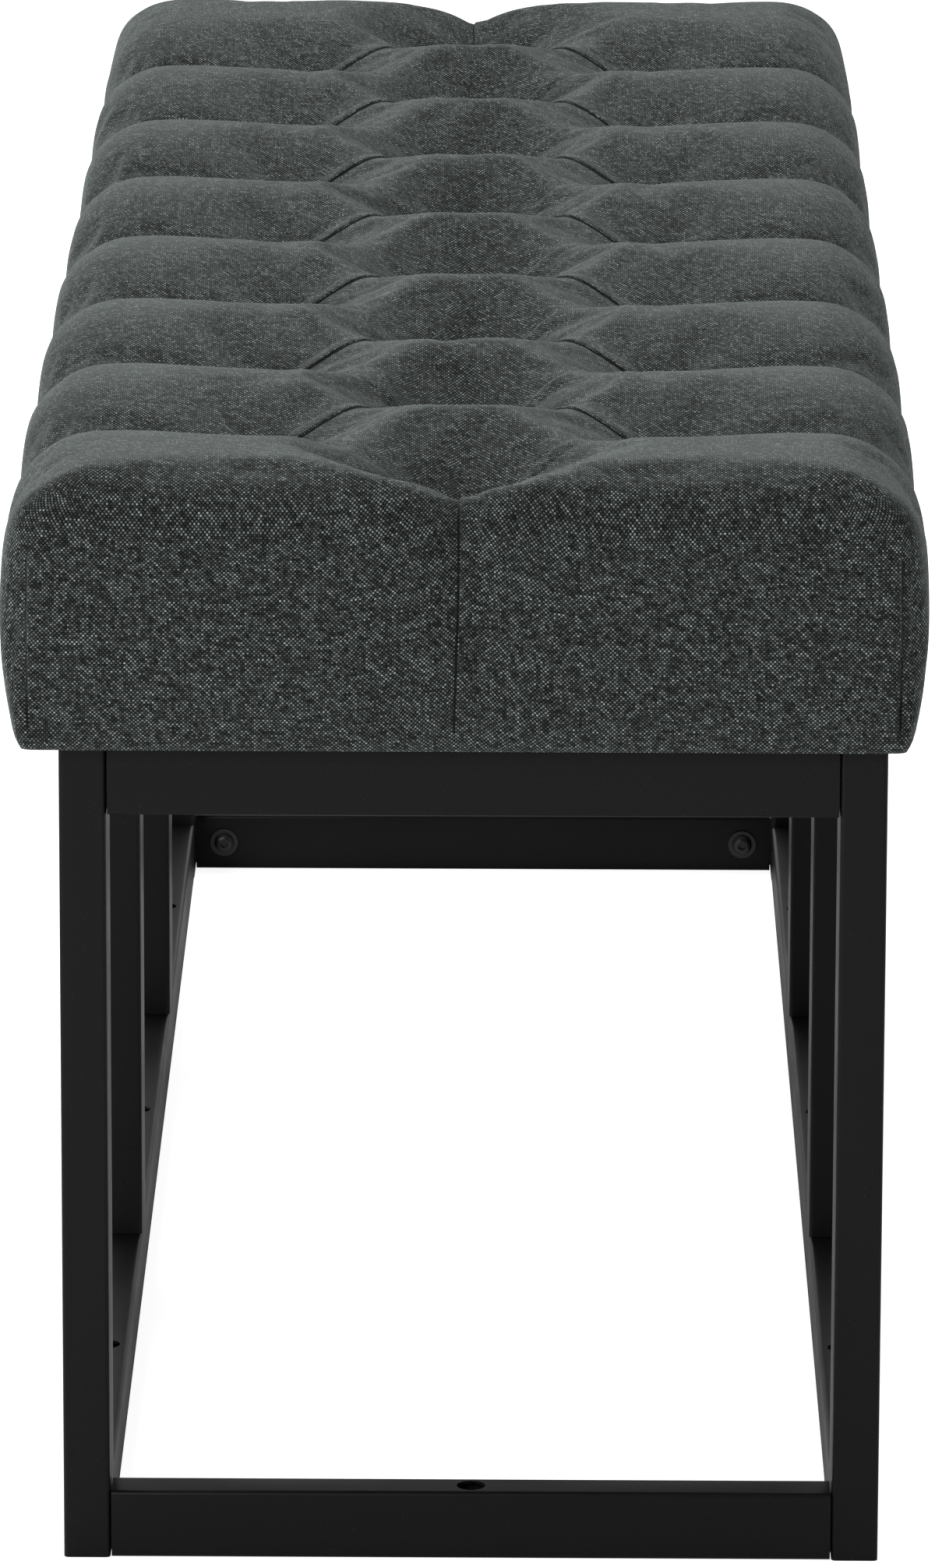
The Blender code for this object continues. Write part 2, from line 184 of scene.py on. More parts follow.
def spread(tree, value, low, high, new_low, new_high):
    node = tree.nodes.new("ShaderNodeMapRange")
    wire(tree, node.inputs["Value"], value)
    for name, number in (("From Min", low), ("From Max", high), ("To Min", new_low), ("To Max", new_high)):
        wire(tree, node.inputs[name], number)
    return node.outputs[0]


def noise(tree, vector, scale, detail=2.0, roughness=0.5):
    node = tree.nodes.new("ShaderNodeTexNoise")
    wire(tree, node.inputs["Vector"], vector)
    wire(tree, node.inputs["Scale"], scale)
    wire(tree, node.inputs["Detail"], detail)
    wire(tree, node.inputs["Roughness"], roughness)
    return node.outputs["Fac"]


def join_vector(tree, x, y, z=0.0):
    node = tree.nodes.new("ShaderNodeCombineXYZ")
    for place, value in enumerate((x, y, z)):
        wire(tree, node.inputs[place], value)
    return node.outputs[0]


def random_of_cell(tree, column, row):
    """A random value for each cell of a grid, from the cell's whole numbers."""
    node = tree.nodes.new("ShaderNodeTexWhiteNoise")
    node.noise_dimensions = "2D"
    wire(tree, node.inputs["Vector"], join_vector(tree, column, row))
    return node.outputs["Value"]


def object_coordinates(tree):
    return tree.nodes.new("ShaderNodeTexCoord").outputs["Object"]


def surface_map(tree, name="cloth"):
    node = tree.nodes.new("ShaderNodeUVMap")
    node.uv_map = name
    return node.outputs["UV"]


def bump(tree, height, distance, strength=1.0, normal=None):
    node = tree.nodes.new("ShaderNodeBump")
    node.inputs["Strength"].default_value = strength
    node.inputs["Distance"].default_value = distance
    wire(tree, node.inputs["Height"], height)
    if normal is not None:
        wire(tree, node.inputs["Normal"], normal)
    return node.outputs["Normal"]


def new_group(name, inputs, outputs):
    """A shader node group with named sockets: inputs as (name, type, value), outputs as (name, type)."""
    group = bpy.data.node_groups.new(name, "ShaderNodeTree")
    for socket_name, kind, value in inputs:
        socket = group.interface.new_socket(name=socket_name, in_out="INPUT", socket_type=kind)
        if value is not None:
            socket.default_value = value
    for socket_name, kind in outputs:
        group.interface.new_socket(name=socket_name, in_out="OUTPUT", socket_type=kind)
    return group, group.nodes.new("NodeGroupInput").outputs, group.nodes.new("NodeGroupOutput").inputs


def place_group(tree, group, **values):
    """Puts a group in a material. Underscores in the keys stand for the spaces in the socket names."""
    node = tree.nodes.new("ShaderNodeGroup")
    node.node_tree = group
    for key, value in values.items():
        wire(tree, node.inputs[key.replace("_", " ")], value)
    return node.outputs


def new_material(name, metallic=0.0, specular=0.5, **plain):
    """A material with one Principled shader. Plain values go straight on the shader's sockets."""
    material = bpy.data.materials.new(name)
    material.use_nodes = True
    shader = material.node_tree.nodes["Principled BSDF"]
    shader.inputs["Metallic"].default_value = metallic
    shader.inputs["Specular IOR Level"].default_value = specular
    for key, value in plain.items():
        shader.inputs[key.replace("_", " ")].default_value = value
    return material, material.node_tree, shader.inputs


# ---------------------------------------------------------------- shared surface effects

FLOAT, VECTOR = "NodeSocketFloat", "NodeSocketVector"


def yarn_height(tree, own_hump, crossing_hump):
    """A yarn is round across its own width and flatter along its float over the other yarns."""
    over, along = maths(tree, "POWER", own_hump, 0.9), maths(tree, "POWER", crossing_hump, 0.4)
    return maths(tree, "MULTIPLY", over, along)


def hump(tree, yarns):
    """Rises and falls once over the width of each yarn."""
    return maths(tree, "SINE", maths(tree, "MULTIPLY", maths(tree, "FRACT", yarns), math.pi))


def streaks(tree, x, x_scale, y, y_scale):
    """Slow thick and thin stretches along a yarn, unlike those of the yarn beside it."""
    place = join_vector(tree, maths(tree, "MULTIPLY", x, x_scale), maths(tree, "MULTIPLY", y, y_scale))
    return noise(tree, place, 1.0, 1.0)


def make_weave_group():
    """Plain weave: warp and weft cross over and under in turn, each yarn with its own pale spots."""
    tree, given, result = new_group(
        "plain_weave",
        [("Place", VECTOR, None), ("Pitch", FLOAT, YARN_PITCH), ("Unevenness", FLOAT, YARN_WANDER)],
        [("Weft on top", FLOAT), ("Height", FLOAT), ("Heather", FLOAT), ("Slub", FLOAT), ("Cloud", FLOAT)],
    )
    wander = tree.nodes.new("ShaderNodeTexNoise")
    wire(tree, wander.inputs["Vector"], given["Place"])
    wander.inputs["Scale"].default_value = WANDER_SCALE
    wander.inputs["Detail"].default_value = 1.0
    offsets = tree.nodes.new("ShaderNodeSeparateColor")
    wire(tree, offsets.inputs[0], wander.outputs["Color"])
    places = tree.nodes.new("ShaderNodeSeparateXYZ")
    wire(tree, places.inputs[0], given["Place"])
    counted = []
    for way in (0, 1):
        yarns = maths(tree, "DIVIDE", places.outputs[way], given["Pitch"])
        off_line = maths(tree, "SUBTRACT", offsets.outputs[way], 0.5)
        shift = maths(tree, "MULTIPLY", off_line, given["Unevenness"])
        counted.append(maths(tree, "MULTIPLY_ADD", shift, 4.0, yarns))
    across, down = counted
    warp_number = maths(tree, "FLOOR", across)
    weft_number = maths(tree, "FLOOR", down)
    weft_on_top = maths(tree, "FLOORED_MODULO", maths(tree, "ADD", warp_number, weft_number), 2.0)
    warp_hump, weft_hump = hump(tree, across), hump(tree, down)
    warp_height = yarn_height(tree, warp_hump, weft_hump)
    weft_height = yarn_height(tree, weft_hump, warp_hump)
    weft_streak = streaks(tree, across, 0.10, weft_number, 3.7)
    warp_streak = streaks(tree, warp_number, 3.1, down, 0.07)
    own_streak = mix_values(tree, weft_on_top, warp_streak, weft_streak)
    halves = [maths(tree, "MULTIPLY", number, 0.5) for number in (warp_number, weft_number)]
    pairs = [maths(tree, "FLOOR", half) for half in halves]
    patches = spread(tree, noise(tree, given["Place"], CLOUD_SCALE, 3.0, 0.7), 0.3, 0.7, 0.0, 0.28)
    wire(tree, result["Cloud"], maths(tree, "MULTIPLY_ADD", random_of_cell(tree, *pairs), 0.72, patches))
    wire(tree, result["Weft on top"], weft_on_top)
    wire(tree, result["Height"], mix_values(tree, weft_on_top, warp_height, weft_height))
    wire(tree, result["Heather"], random_of_cell(tree, warp_number, weft_number))
    wire(tree, result["Slub"], spread(tree, own_streak, 0.30, 0.72, 0.0, 1.0))
    return tree


def make_grain_group():
    """Fine orange peel of a baked powder coat, with slow patches of more and less gloss."""
    tree, given, result = new_group(
        "powder_grain",
        [("Place", VECTOR, None), ("Grain size", FLOAT, 0.0011)],
        [("Height", FLOAT), ("Patches", FLOAT), ("Dust", FLOAT)],
    )
    scale = maths(tree, "DIVIDE", 1.0, given["Grain size"])
    wire(tree, result["Height"], noise(tree, given["Place"], scale, 2.0, 0.6))
    wire(tree, result["Patches"], noise(tree, given["Place"], 14.0, 3.0, 0.6))
    specks = noise(tree, given["Place"], 900.0, 1.0, 0.5)
    wire(tree, result["Dust"], spread(tree, specks, 0.66, 0.76, 0.0, 1.0))
    return tree


WEAVE = make_weave_group()
GRAIN = make_grain_group()


# ---------------------------------------------------------------- materials

def make_woven_fabric():
    material, tree, sockets = new_material("woven_fabric", specular=0.25)
    sockets["Sheen Weight"].default_value = 0.45
    sockets["Sheen Roughness"].default_value = 0.28
    sockets["Sheen Tint"].default_value = (0.80, 0.92, 0.88, 1)
    weave = place_group(tree, WEAVE, Place=surface_map(tree), Pitch=YARN_PITCH)
    warp = blend_colours(tree, weave["Heather"], (0.003, 0.004, 0.0037, 1), (0.026, 0.031, 0.029, 1))
    weft = blend_colours(tree, weave["Heather"], (0.055, 0.065, 0.061, 1), (0.270, 0.306, 0.293, 1))
    yarn = blend_colours(tree, weave["Weft on top"], warp, weft)
    slubs = spread(tree, weave["Slub"], 0.0, 1.0, 0.50, 1.55)
    clouds = spread(tree, weave["Cloud"], 0.0, 1.0, 0.20, 1.80)
    # Painted shade: the colour darkens where the yarns dip down between each other.
    yarn_gap_painted_shade = spread(tree, weave["Height"], 0.10, 0.75, 0.05, 1.0)
    woven = yarn
    for effect in (slubs, clouds, yarn_gap_painted_shade):
        woven = blend_colours(tree, 1.0, woven, effect, "MULTIPLY")
    shadow = tree.nodes.new("ShaderNodeAttribute")
    shadow.attribute_name = "seam_shadow"
    shaded = blend_colours(tree, shadow.outputs["Fac"], woven, (0.002, 0.002, 0.002, 1))
    wire(tree, sockets["Base Color"], shaded)
    wire(tree, sockets["Roughness"], spread(tree, weave["Height"], 0.0, 1.0, 0.95, 0.80))
    wire(tree, sockets["Normal"], bump(tree, weave["Height"], 0.00022, 0.8))
    return material


def make_powder_coat():
    material, tree, sockets = new_material("powder_coat", specular=0.16)
    grain = place_group(tree, GRAIN, Place=object_coordinates(tree))
    base = blend_colours(tree, grain["Patches"], (0.0068, 0.0068, 0.0069, 1), (0.0092, 0.0092, 0.0093, 1))
    dusty = blend_colours(tree, maths(tree, "MULTIPLY", grain["Dust"], 0.12), base, (0.12, 0.12, 0.115, 1))
    wire(tree, sockets["Base Color"], dusty)
    wire(tree, sockets["Roughness"], spread(tree, grain["Patches"], 0.3, 0.7, 0.34, 0.44))
    wire(tree, sockets["Normal"], bump(tree, grain["Height"], 0.00004, 0.5))
    return material


def make_black_bolt():
    material, tree, sockets = new_material("black_bolt", specular=0.55)
    grain = place_group(tree, GRAIN, Place=object_coordinates(tree), Grain_size=0.0005)
    colour = blend_colours(tree, grain["Patches"], (0.008, 0.008, 0.008, 1), (0.014, 0.014, 0.014, 1))
    wire(tree, sockets["Base Color"], colour)
    wire(tree, sockets["Roughness"], spread(tree, grain["Height"], 0.3, 0.7, 0.28, 0.42))
    wire(tree, sockets["Normal"], bump(tree, grain["Height"], 0.00002, 0.5))
    return material


def make_zinc_steel():
    material, tree, sockets = new_material("zinc_steel", metallic=1.0)
    grain = place_group(tree, GRAIN, Place=object_coordinates(tree), Grain_size=0.0008)
    colour = blend_colours(tree, grain["Patches"], (0.42, 0.43, 0.45, 1), (0.62, 0.62, 0.60, 1))
    wire(tree, sockets["Base Color"], colour)
    wire(tree, sockets["Roughness"], spread(tree, grain["Height"], 0.3, 0.7, 0.28, 0.48))
    return material


def make_plywood():
    material, tree, sockets = new_material("plywood", specular=0.3)
    mapping = tree.nodes.new("ShaderNodeMapping")
    wire(tree, mapping.inputs["Vector"], object_coordinates(tree))
    mapping.inputs["Scale"].default_value = (90.0, 6.0, 400.0)
    rings = noise(tree, mapping.outputs[0], 1.0, 4.0, 0.6)
    colour = blend_colours(tree, rings, (0.30, 0.19, 0.10, 1), (0.62, 0.46, 0.29, 1))
    wire(tree, sockets["Base Color"], colour)
    wire(tree, sockets["Roughness"], spread(tree, rings, 0.2, 0.8, 0.75, 0.6))
    return material


def make_dust_cloth():
    material, tree, sockets = new_material("dust_cloth", specular=0.2)
    place = object_coordinates(tree)
    fibres = noise(tree, place, 700.0, 4.0, 0.7)
    dots = tree.nodes.new("ShaderNodeTexVoronoi")
    dots.feature = "F1"
    wire(tree, dots.inputs["Vector"], place)
    dots.inputs["Scale"].default_value = 420.0
    dots.inputs["Randomness"].default_value = 0.15
    dimple = spread(tree, dots.outputs["Distance"], 0.10, 0.40, 0.0, 1.0)
    colour = blend_colours(tree, fibres, (0.008, 0.008, 0.009, 1), (0.030, 0.030, 0.032, 1))
    # Painted shade: half the colour is darkened in the dimples that the bump sinks in.
    dimple_painted_shade = blend_colours(tree, 1.0, colour, dimple, "MULTIPLY")
    wire(tree, sockets["Base Color"], blend_colours(tree, 0.5, colour, dimple_painted_shade))
    wire(tree, sockets["Roughness"], spread(tree, fibres, 0.2, 0.8, 0.85, 0.65))
    wire(tree, sockets["Normal"], bump(tree, maths(tree, "ADD", dimple, fibres), 0.00015, 0.6))
    return material


FABRIC = make_woven_fabric()
POWDER_COAT = make_powder_coat()
BLACK_BOLT = make_black_bolt()
ZINC_STEEL = make_zinc_steel()
PLYWOOD = make_plywood()
DUST_CLOTH = make_dust_cloth()


# ---------------------------------------------------------------- steel frame

def smooth_copy(node_name, material):
    """The node's own shape as one welded mesh: its rounded corners shade as curves, its flats as flats."""
    bm = bmesh.new()
    bm.from_mesh(NODES[node_name].data)
    bmesh.ops.remove_doubles(bm, verts=bm.verts[:], dist=0.00002)
    piece = object_from_bmesh(bm, node_name + "_steel", material)
    piece.data.set_sharp_from_angle(angle=math.radians(SHARP_ANGLE))
    even = piece.modifiers.new("flat_faces", "WEIGHTED_NORMAL")
    even.keep_sharp = True
    even.weight = 100
    return piece


def make_steel_frame():
    for name in sorted(NODES):
        if name.startswith(("leg_", "long_rail_", "cross_rail_")):
            fit_on_body(smooth_copy(name, POWDER_COAT), "powder_coat", name)


def finish_small_nodes():
    """The stubs, bolts, washers and screws keep their own shape and get their real finish."""
    finishes = (("stub_", POWDER_COAT), ("bolt_", BLACK_BOLT), ("washer_", BLACK_BOLT),
                ("seat_screw_", ZINC_STEEL), ("seat_board", PLYWOOD))
    for prefix, material in finishes:
        for name, node in NODES.items():
            if name.startswith(prefix):
                node.data.materials.clear()
                node.data.materials.append(material)


# ---------------------------------------------------------------- tufted seat

# A line that pulls the cover in, on its flat cut: how deep at its two ends, what share of that is given
# back between them, and how far the pull reaches to each side.
PulledLine = namedtuple("PulledLine", "start stop start_depth stop_depth rise reach")


def pleat_lines():
    """Every pulled-in line of the cover: pleats, the sides of the diamonds and the pleats over the ends."""
    lines = []
    hem_x = COVER_HALF_WIDTH + 0.075
    given_back = 1 - DIAGONAL_DEPTH / TUFT_DEPTH
    for number in range(1, PILLOWS):
        y = number * ROW_STEP - COVER_HALF_LENGTH
        for side in (-1, 1):
            tuft = (TUFT_CENTRE + side * TUFT_SIDE, y)
            edge = (side * (COVER_HALF_WIDTH - 0.012), y)
            hem = (side * hem_x, y)
            lines.append(PulledLine(tuft, edge, OUTER_TUFT_DEPTH, SIDE_PLEAT_DEPTH, 0.0, PLEAT_REACH))
            lines.append(PulledLine(edge, hem, SIDE_PLEAT_DEPTH, 0.0, 0.0, PLEAT_REACH * 0.8))
            for ahead in (-0.5, 0.5):
                middle = (TUFT_CENTRE, y + ahead * ROW_STEP)
                depths = (OUTER_TUFT_DEPTH, TUFT_DEPTH)
                lines.append(PulledLine(tuft, middle, *depths, given_back, DIAGONAL_REACH))
    for end in (-1, 1):
        tuft = (TUFT_CENTRE, end * (COVER_HALF_LENGTH - ROW_STEP / 2))
        edge = (TUFT_CENTRE, end * (COVER_HALF_LENGTH - 0.004))
        hem = (TUFT_CENTRE, end * (COVER_HALF_LENGTH + 0.050))
        lines.append(PulledLine(tuft, edge, TUFT_DEPTH, END_PLEAT_DEPTH, 0.0, PLEAT_REACH * 0.45))
        lines.append(PulledLine(edge, hem, END_PLEAT_DEPTH, 0.0, 0.0, PLEAT_REACH * 0.3))
    return lines


def tuft_places():
    """The tufts on the flat cut: a middle row, and two outer rows half a pillow out of step with it."""
    between = [number * ROW_STEP - COVER_HALF_LENGTH for number in range(1, PILLOWS)]
    outer = [(TUFT_CENTRE + side * TUFT_SIDE, y) for y in between for side in (-1, 1)]
    middle = [(TUFT_CENTRE, (number + 0.5) * ROW_STEP - COVER_HALF_LENGTH) for number in range(PILLOWS)]
    return outer + middle


def off_line(across, along, line):
    """How far along a pulled-in line places are, as a share of it, and their distance from it."""
    x0, y0 = line.start
    dx, dy = line.stop[0] - x0, line.stop[1] - y0
    share = np.clip(((across - x0) * dx + (along - y0) * dy) / (dx * dx + dy * dy), 0, 1)
    return share, np.hypot(across - x0 - share * dx, along - y0 - share * dy)


def pulled_in(across, along):
    """How far the tufts and pleats pull the cover in, at places on its flat cut."""
    gathered = np.ones_like(across)
    for line in pleat_lines():
        share, gap = off_line(across, along, line)
        near = np.clip(1 - np.sqrt((gap / line.reach) ** 2 + 0.0016), 0, 1)
        shape = 0.45 * near ** 2 + 0.55 * (1 - np.sqrt(1 - near ** 2))
        given_back = line.rise * np.power(np.clip(4 * share * (1 - share), 0, 1), 0.40)
        depth = line.start_depth + (line.stop_depth - line.start_depth) * share
        gathered += np.exp(PULL_SHARPNESS * depth * (1 - given_back) * shape) - 1
    for x, y in tuft_places():
        deep = TUFT_DEPTH if x == TUFT_CENTRE else OUTER_TUFT_DEPTH
        near = np.clip(1 - np.hypot(across - x, along - y) / TUFT_REACH, 0, 1)
        gathered += np.exp(PULL_SHARPNESS * deep * near ** 1.35) - 1
    return np.log(gathered) / PULL_SHARPNESS


def crest_height(along):
    """The stuffing stands highest at the near end and settles a little past the middle."""
    share = along / COVER_HALF_LENGTH
    return SEAT_LOFT * CREST_SHARE + CREST_LEAN * share + CREST_LIFT * share ** 2


def smooth_step(share):
    share = np.clip(share, 0, 1)
    return share * share * (3 - 2 * share)


def blank_box():
    """Five panels of square faces about one grid step wide, joined at their edges and open underneath."""
    sizes = (2 * COVER_HALF_WIDTH, 2 * COVER_HALF_LENGTH, SEAT_LOFT)
    wide, long, high = (round(size / GRID) for size in sizes)
    bm = bmesh.new()
    panels = [(Matrix.Translation((0, 0, 1)), wide, long)]
    for side in (-1, 1):
        to_side = Matrix.Rotation(side * math.pi / 2, 4, "Y")
        to_end = Matrix.Rotation(-side * math.pi / 2, 4, "X")
        panels.append((Matrix.Translation((side, 0, 0)) @ to_side, high, long))
        panels.append((Matrix.Translation((0, side, 0)) @ to_end, wide, high))
    for place, across, along in panels:
        bmesh.ops.create_grid(bm, x_segments=across, y_segments=along, size=1.0, matrix=place)
    bmesh.ops.remove_doubles(bm, verts=bm.verts[:], dist=0.0001)
    return bm


# Where places on the unit box fall on the cushion: its height there, their own height, the width of the
# rounded edges, their distance from the middle both ways, and how far into each rounded edge they are.
BoxPlaces = namedtuple(
    "BoxPlaces", "height high reach_x reach_y wide long share_x share_y share_top share_hem"
)


def box_places(unit):
    height = crest_height(unit[:, 1] * COVER_HALF_LENGTH)
    high = (unit[:, 2] + 1) / 2 * height
    soft = smooth_step(high / height)
    reach_x = HEM_RADIUS + (SIDE_SHOULDER - HEM_RADIUS) * soft
    reach_y = HEM_RADIUS + (END_SHOULDER - HEM_RADIUS) * soft
    wide, long = np.abs(unit[:, 0]) * COVER_HALF_WIDTH, np.abs(unit[:, 1]) * COVER_HALF_LENGTH
    share_x = np.clip((wide - COVER_HALF_WIDTH + reach_x) / reach_x, 0, 1)
    share_y = np.clip((long - COVER_HALF_LENGTH + reach_y) / reach_y, 0, 1)
    share_top = np.clip((high - height + SHOULDER_DROP) / SHOULDER_DROP, 0, 1)
    share_hem = np.clip((HEM_RADIUS - high) / HEM_RADIUS, 0, 1)
    return BoxPlaces(height, high, reach_x, reach_y, wide, long, share_x, share_y, share_top, share_hem)


def stuffed_shape(unit):
    """Turns places on the unit box into the crowned form, before the tufts pull it in."""
    at = box_places(unit)
    plan = np.power(at.share_x ** CORNER_POWER + at.share_y ** CORNER_POWER, 1 / CORNER_POWER)
    size = np.sqrt(plan ** 2 + at.share_top ** 2 + at.share_hem ** 2)
    largest = np.maximum.reduce([at.share_x, at.share_y, at.share_top, at.share_hem])
    scale = largest / np.maximum(size, 1e-9)
    x = np.minimum(at.wide, COVER_HALF_WIDTH - at.reach_x) + at.share_x * scale * at.reach_x
    y = np.minimum(at.long, COVER_HALF_LENGTH - at.reach_y) + at.share_y * scale * at.reach_y
    z = np.clip(at.high, HEM_RADIUS, at.height - SHOULDER_DROP)
    z = z + at.share_top * scale * SHOULDER_DROP - at.share_hem * scale * HEM_RADIUS
    z = z - at.share_hem * (1 - math.sqrt(0.5)) * HEM_RADIUS
    belly = np.sin(np.pi * np.clip(at.high / at.height, 0, 1)) ** 0.8
    x = x + SIDE_BULGE * belly * smooth_step((at.share_x - 0.7) / 0.3) * (1 - 0.5 * at.share_y)
    y = y + END_BULGE * belly * smooth_step((at.share_y - 0.7) / 0.3) * (1 - 0.5 * at.share_x)
    return np.stack([np.sign(unit[:, 0]) * x, np.sign(unit[:, 1]) * y, z], axis=1)


def flat_cut(unit, panel):
    """Places on the cover's flat cut, in metres, of places on one panel of the unit box."""
    at = box_places(unit)
    fall = np.clip(at.height - SHOULDER_DROP - at.high, 0, None)
    above = np.maximum(at.share_top, 1e-6)
    turn_x = SIDE_SHOULDER * (np.arctan2(at.share_x, above) - 1) + COVER_HALF_WIDTH
    turn_y = END_SHOULDER * (np.arctan2(at.share_y, above) - 1) + COVER_HALF_LENGTH
    side_fall = (panel == SIDE_PANEL) * fall
    end_fall = (panel == END_PANEL) * fall
    flat_x = np.where((at.share_x > 0) & (panel != END_PANEL), turn_x + side_fall, at.wide)
    flat_y = np.where((at.share_y > 0) & (panel != SIDE_PANEL), turn_y + end_fall, at.long)
    return np.sign(unit[:, 0]) * flat_x, np.sign(unit[:, 1]) * flat_y


def panel_of(unit):
    """Which panel of the box a place is on: the top, a long side or an end."""
    panel = np.full(len(unit), TOP_PANEL)
    panel[np.abs(unit[:, 1]) > 0.9999] = END_PANEL
    panel[np.abs(unit[:, 0]) > 0.9999] = SIDE_PANEL
    return panel


def mesh_array(mesh, what="vertices", key="co", width=3):
    values = np.empty(len(getattr(mesh, what)) * width)
    getattr(mesh, what).foreach_get(key, values)
    return values.reshape(-1, width) if width > 1 else values


def give_flat_map(mesh, unit):
    """Stores each face corner's place on the flat cut in a map of its own."""
    corners = mesh_array(mesh, "loops", "vertex_index", 1).astype(int)
    counts = mesh_array(mesh, "polygons", "loop_total", 1).astype(int)
    owner = np.repeat(np.arange(len(counts)), counts)
    centres = np.stack([np.bincount(owner, unit[corners, axis]) / counts for axis in range(3)], axis=1)
    panel = panel_of(centres)[owner]
    flat_x, flat_y = flat_cut(unit[corners], panel)
    layer = mesh.uv_layers.new(name="flat")
    layer.data.foreach_set("uv", np.stack([flat_x, flat_y], axis=1).astype(np.float32).ravel())


def hold_group(obj, across, along, unit):
    """Weights for what the simulation holds still: the tufts, the pleats and the hem on its board."""
    gap = nearest_pleat(across, along)
    held = np.clip(1.4 - gap / HELD_REACH, 0, 1)
    held = np.maximum(held, np.clip(1 - (unit[:, 2] + 1) * 8, 0, 1))
    group = obj.vertex_groups.new(name="held")
    for level in np.unique(np.round(held, 1)):
        members = np.nonzero(np.round(held, 1) == level)[0]
        if level > 0:
            group.add(members.tolist(), float(level), "REPLACE")
    return group.name


def nearest_pleat(across, along):
    """Distance on the flat cut to the nearest tufted line that is deeper than a few millimetres."""
    nearest = np.full_like(across, 1.0)
    for line in pleat_lines():
        share, gap = off_line(across, along, line)
        shallow = line.start_depth + (line.stop_depth - line.start_depth) * share < SHALLOW_PLEAT
        nearest = np.minimum(nearest, gap + shallow * 0.05)
    return nearest


def inflate(obj, group):
    """Lets the cloth swell over the filling, held at the tufts, and keeps what it settles to."""
    rest = mesh_array(obj.data)
    cloth = obj.modifiers.new("filling", "CLOTH")
    settings = cloth.settings
    settings.quality = 6
    settings.mass = 0.4
    settings.vertex_group_mass = group
    settings.tension_stiffness = 12
    settings.compression_stiffness = 12
    settings.shear_stiffness = 4
    settings.bending_stiffness = 0.6
    settings.use_pressure = True
    settings.uniform_pressure_force = 4.0
    settings.shrink_min = -0.015
    settings.effector_weights.gravity = 0
    cloth.collision_settings.use_collision = False
    cloth.point_cache.frame_start, cloth.point_cache.frame_end = 1, SIM_FRAMES
    scene = bpy.context.scene
    for number in range(1, SIM_FRAMES + 1):
        scene.frame_set(number)
    evaluated = obj.evaluated_get(bpy.context.evaluated_depsgraph_get())
    moved = mesh_array(evaluated.data) - rest
    obj.modifiers.remove(cloth)
    scene.frame_set(1)
    distance = np.linalg.norm(moved, axis=1)
    moved *= (SWELL_CAP * np.tanh(distance / SWELL_CAP) / np.maximum(distance, 1e-9))[:, None]
    obj.data.vertices.foreach_set("co", (rest + moved).astype(np.float32).ravel())
    obj.data.update()


def close_underside(mesh):
    """Shuts the open bottom with one flat face."""
    bm = bmesh.new()
    bm.from_mesh(mesh)
    bmesh.ops.edgeloop_fill(bm, edges=[edge for edge in bm.edges if edge.is_boundary])
    bm.to_mesh(mesh)
    bm.free()


def make_seat():
    bm = blank_box()
    mesh = bpy.data.meshes.new("seat_cushion")
    bm.to_mesh(mesh)
    bm.free()
    unit = mesh_array(mesh)
    give_flat_map(mesh, unit)
    obj = link(bpy.data.objects.new("seat_cushion", mesh))
    mesh.vertices.foreach_set("co", stuffed_shape(unit).astype(np.float32).ravel())
    mesh.update()
    out = mesh_array(mesh, "vertex_normals", "vector")
    across, along = flat_cut(unit, panel_of(unit))
    pulled = pulled_in(across, along)
    place = mesh_array(mesh) - out * pulled[:, None]
    place += np.array([COVER_SHIFT, 0, SEAT_BASE])
    mesh.vertices.foreach_set("co", place.astype(np.float32).ravel())
    mesh.update()
    inflate(obj, hold_group(obj, across, along, unit))
    smoother = obj.modifiers.new("smoother", "SUBSURF")
    smoother.levels = smoother.render_levels = 1
    smoother.boundary_smooth = "PRESERVE_CORNERS"
    fine = bpy.data.meshes.new_from_object(obj.evaluated_get(bpy.context.evaluated_depsgraph_get()))
    obj.modifiers.clear()
    close_underside(fine)
    obj.data = fine
    fine.name = "seat_cushion"
    fine.materials.clear()
    fine.materials.append(FABRIC)
    fine.shade_smooth()
    return obj


# ---------------------------------------------------------------- weave that follows the cover

def length_tables():
    """Lengths along the tufted surface, over the flat cut, both ways: tufting doesn't stretch cloth."""
    xs = np.arange(-TABLE_HALF_WIDTH, TABLE_HALF_WIDTH + 0.0001, TABLE_STEP)
    ys = np.arange(-TABLE_HALF_LENGTH, TABLE_HALF_LENGTH + 0.0001, TABLE_STEP)
    across, along = np.meshgrid(xs, ys, indexing="ij")
    depth = pulled_in(across.ravel(), along.ravel()).reshape(across.shape)
    table_x = np.cumsum(np.hypot(1, np.gradient(depth, xs, axis=0)), axis=0) * TABLE_STEP
    table_y = np.cumsum(np.hypot(1, np.gradient(depth, ys, axis=1)), axis=1) * TABLE_STEP
    return xs, ys, table_x, table_y


def read_table(table, xs, ys, x, y):
    """Straight-line reading between the entries of a table over the flat cut."""
    i = np.clip((x - xs[0]) / (xs[1] - xs[0]), 0, len(xs) - 1.001)
    j = np.clip((y - ys[0]) / (ys[1] - ys[0]), 0, len(ys) - 1.001)
    i0, j0 = i.astype(int), j.astype(int)
    fi, fj = i - i0, j - j0
    low = table[i0, j0] * (1 - fi) + table[i0 + 1, j0] * fi
    high = table[i0, j0 + 1] * (1 - fi) + table[i0 + 1, j0 + 1] * fi
    return low * (1 - fj) + high * fj


def patch_of(x, y):
    """The middle of the patch between pleats that a place on the flat cut belongs to."""
    row = (y + COVER_HALF_LENGTH) / ROW_STEP
    line = np.clip(np.round(row), 1, PILLOWS - 1)
    inside = np.abs(row - line) * 2 + np.abs(x - TUFT_CENTRE) / TUFT_SIDE < 1
    pillow = np.clip(np.floor(row), 0, PILLOWS - 1) + 0.5
    middle_y = np.where(inside, line, pillow) * ROW_STEP - COVER_HALF_LENGTH
    middle_x = np.where(inside, TUFT_CENTRE, np.where(x < TUFT_CENTRE, -0.14, 0.14))
    return middle_x, middle_y


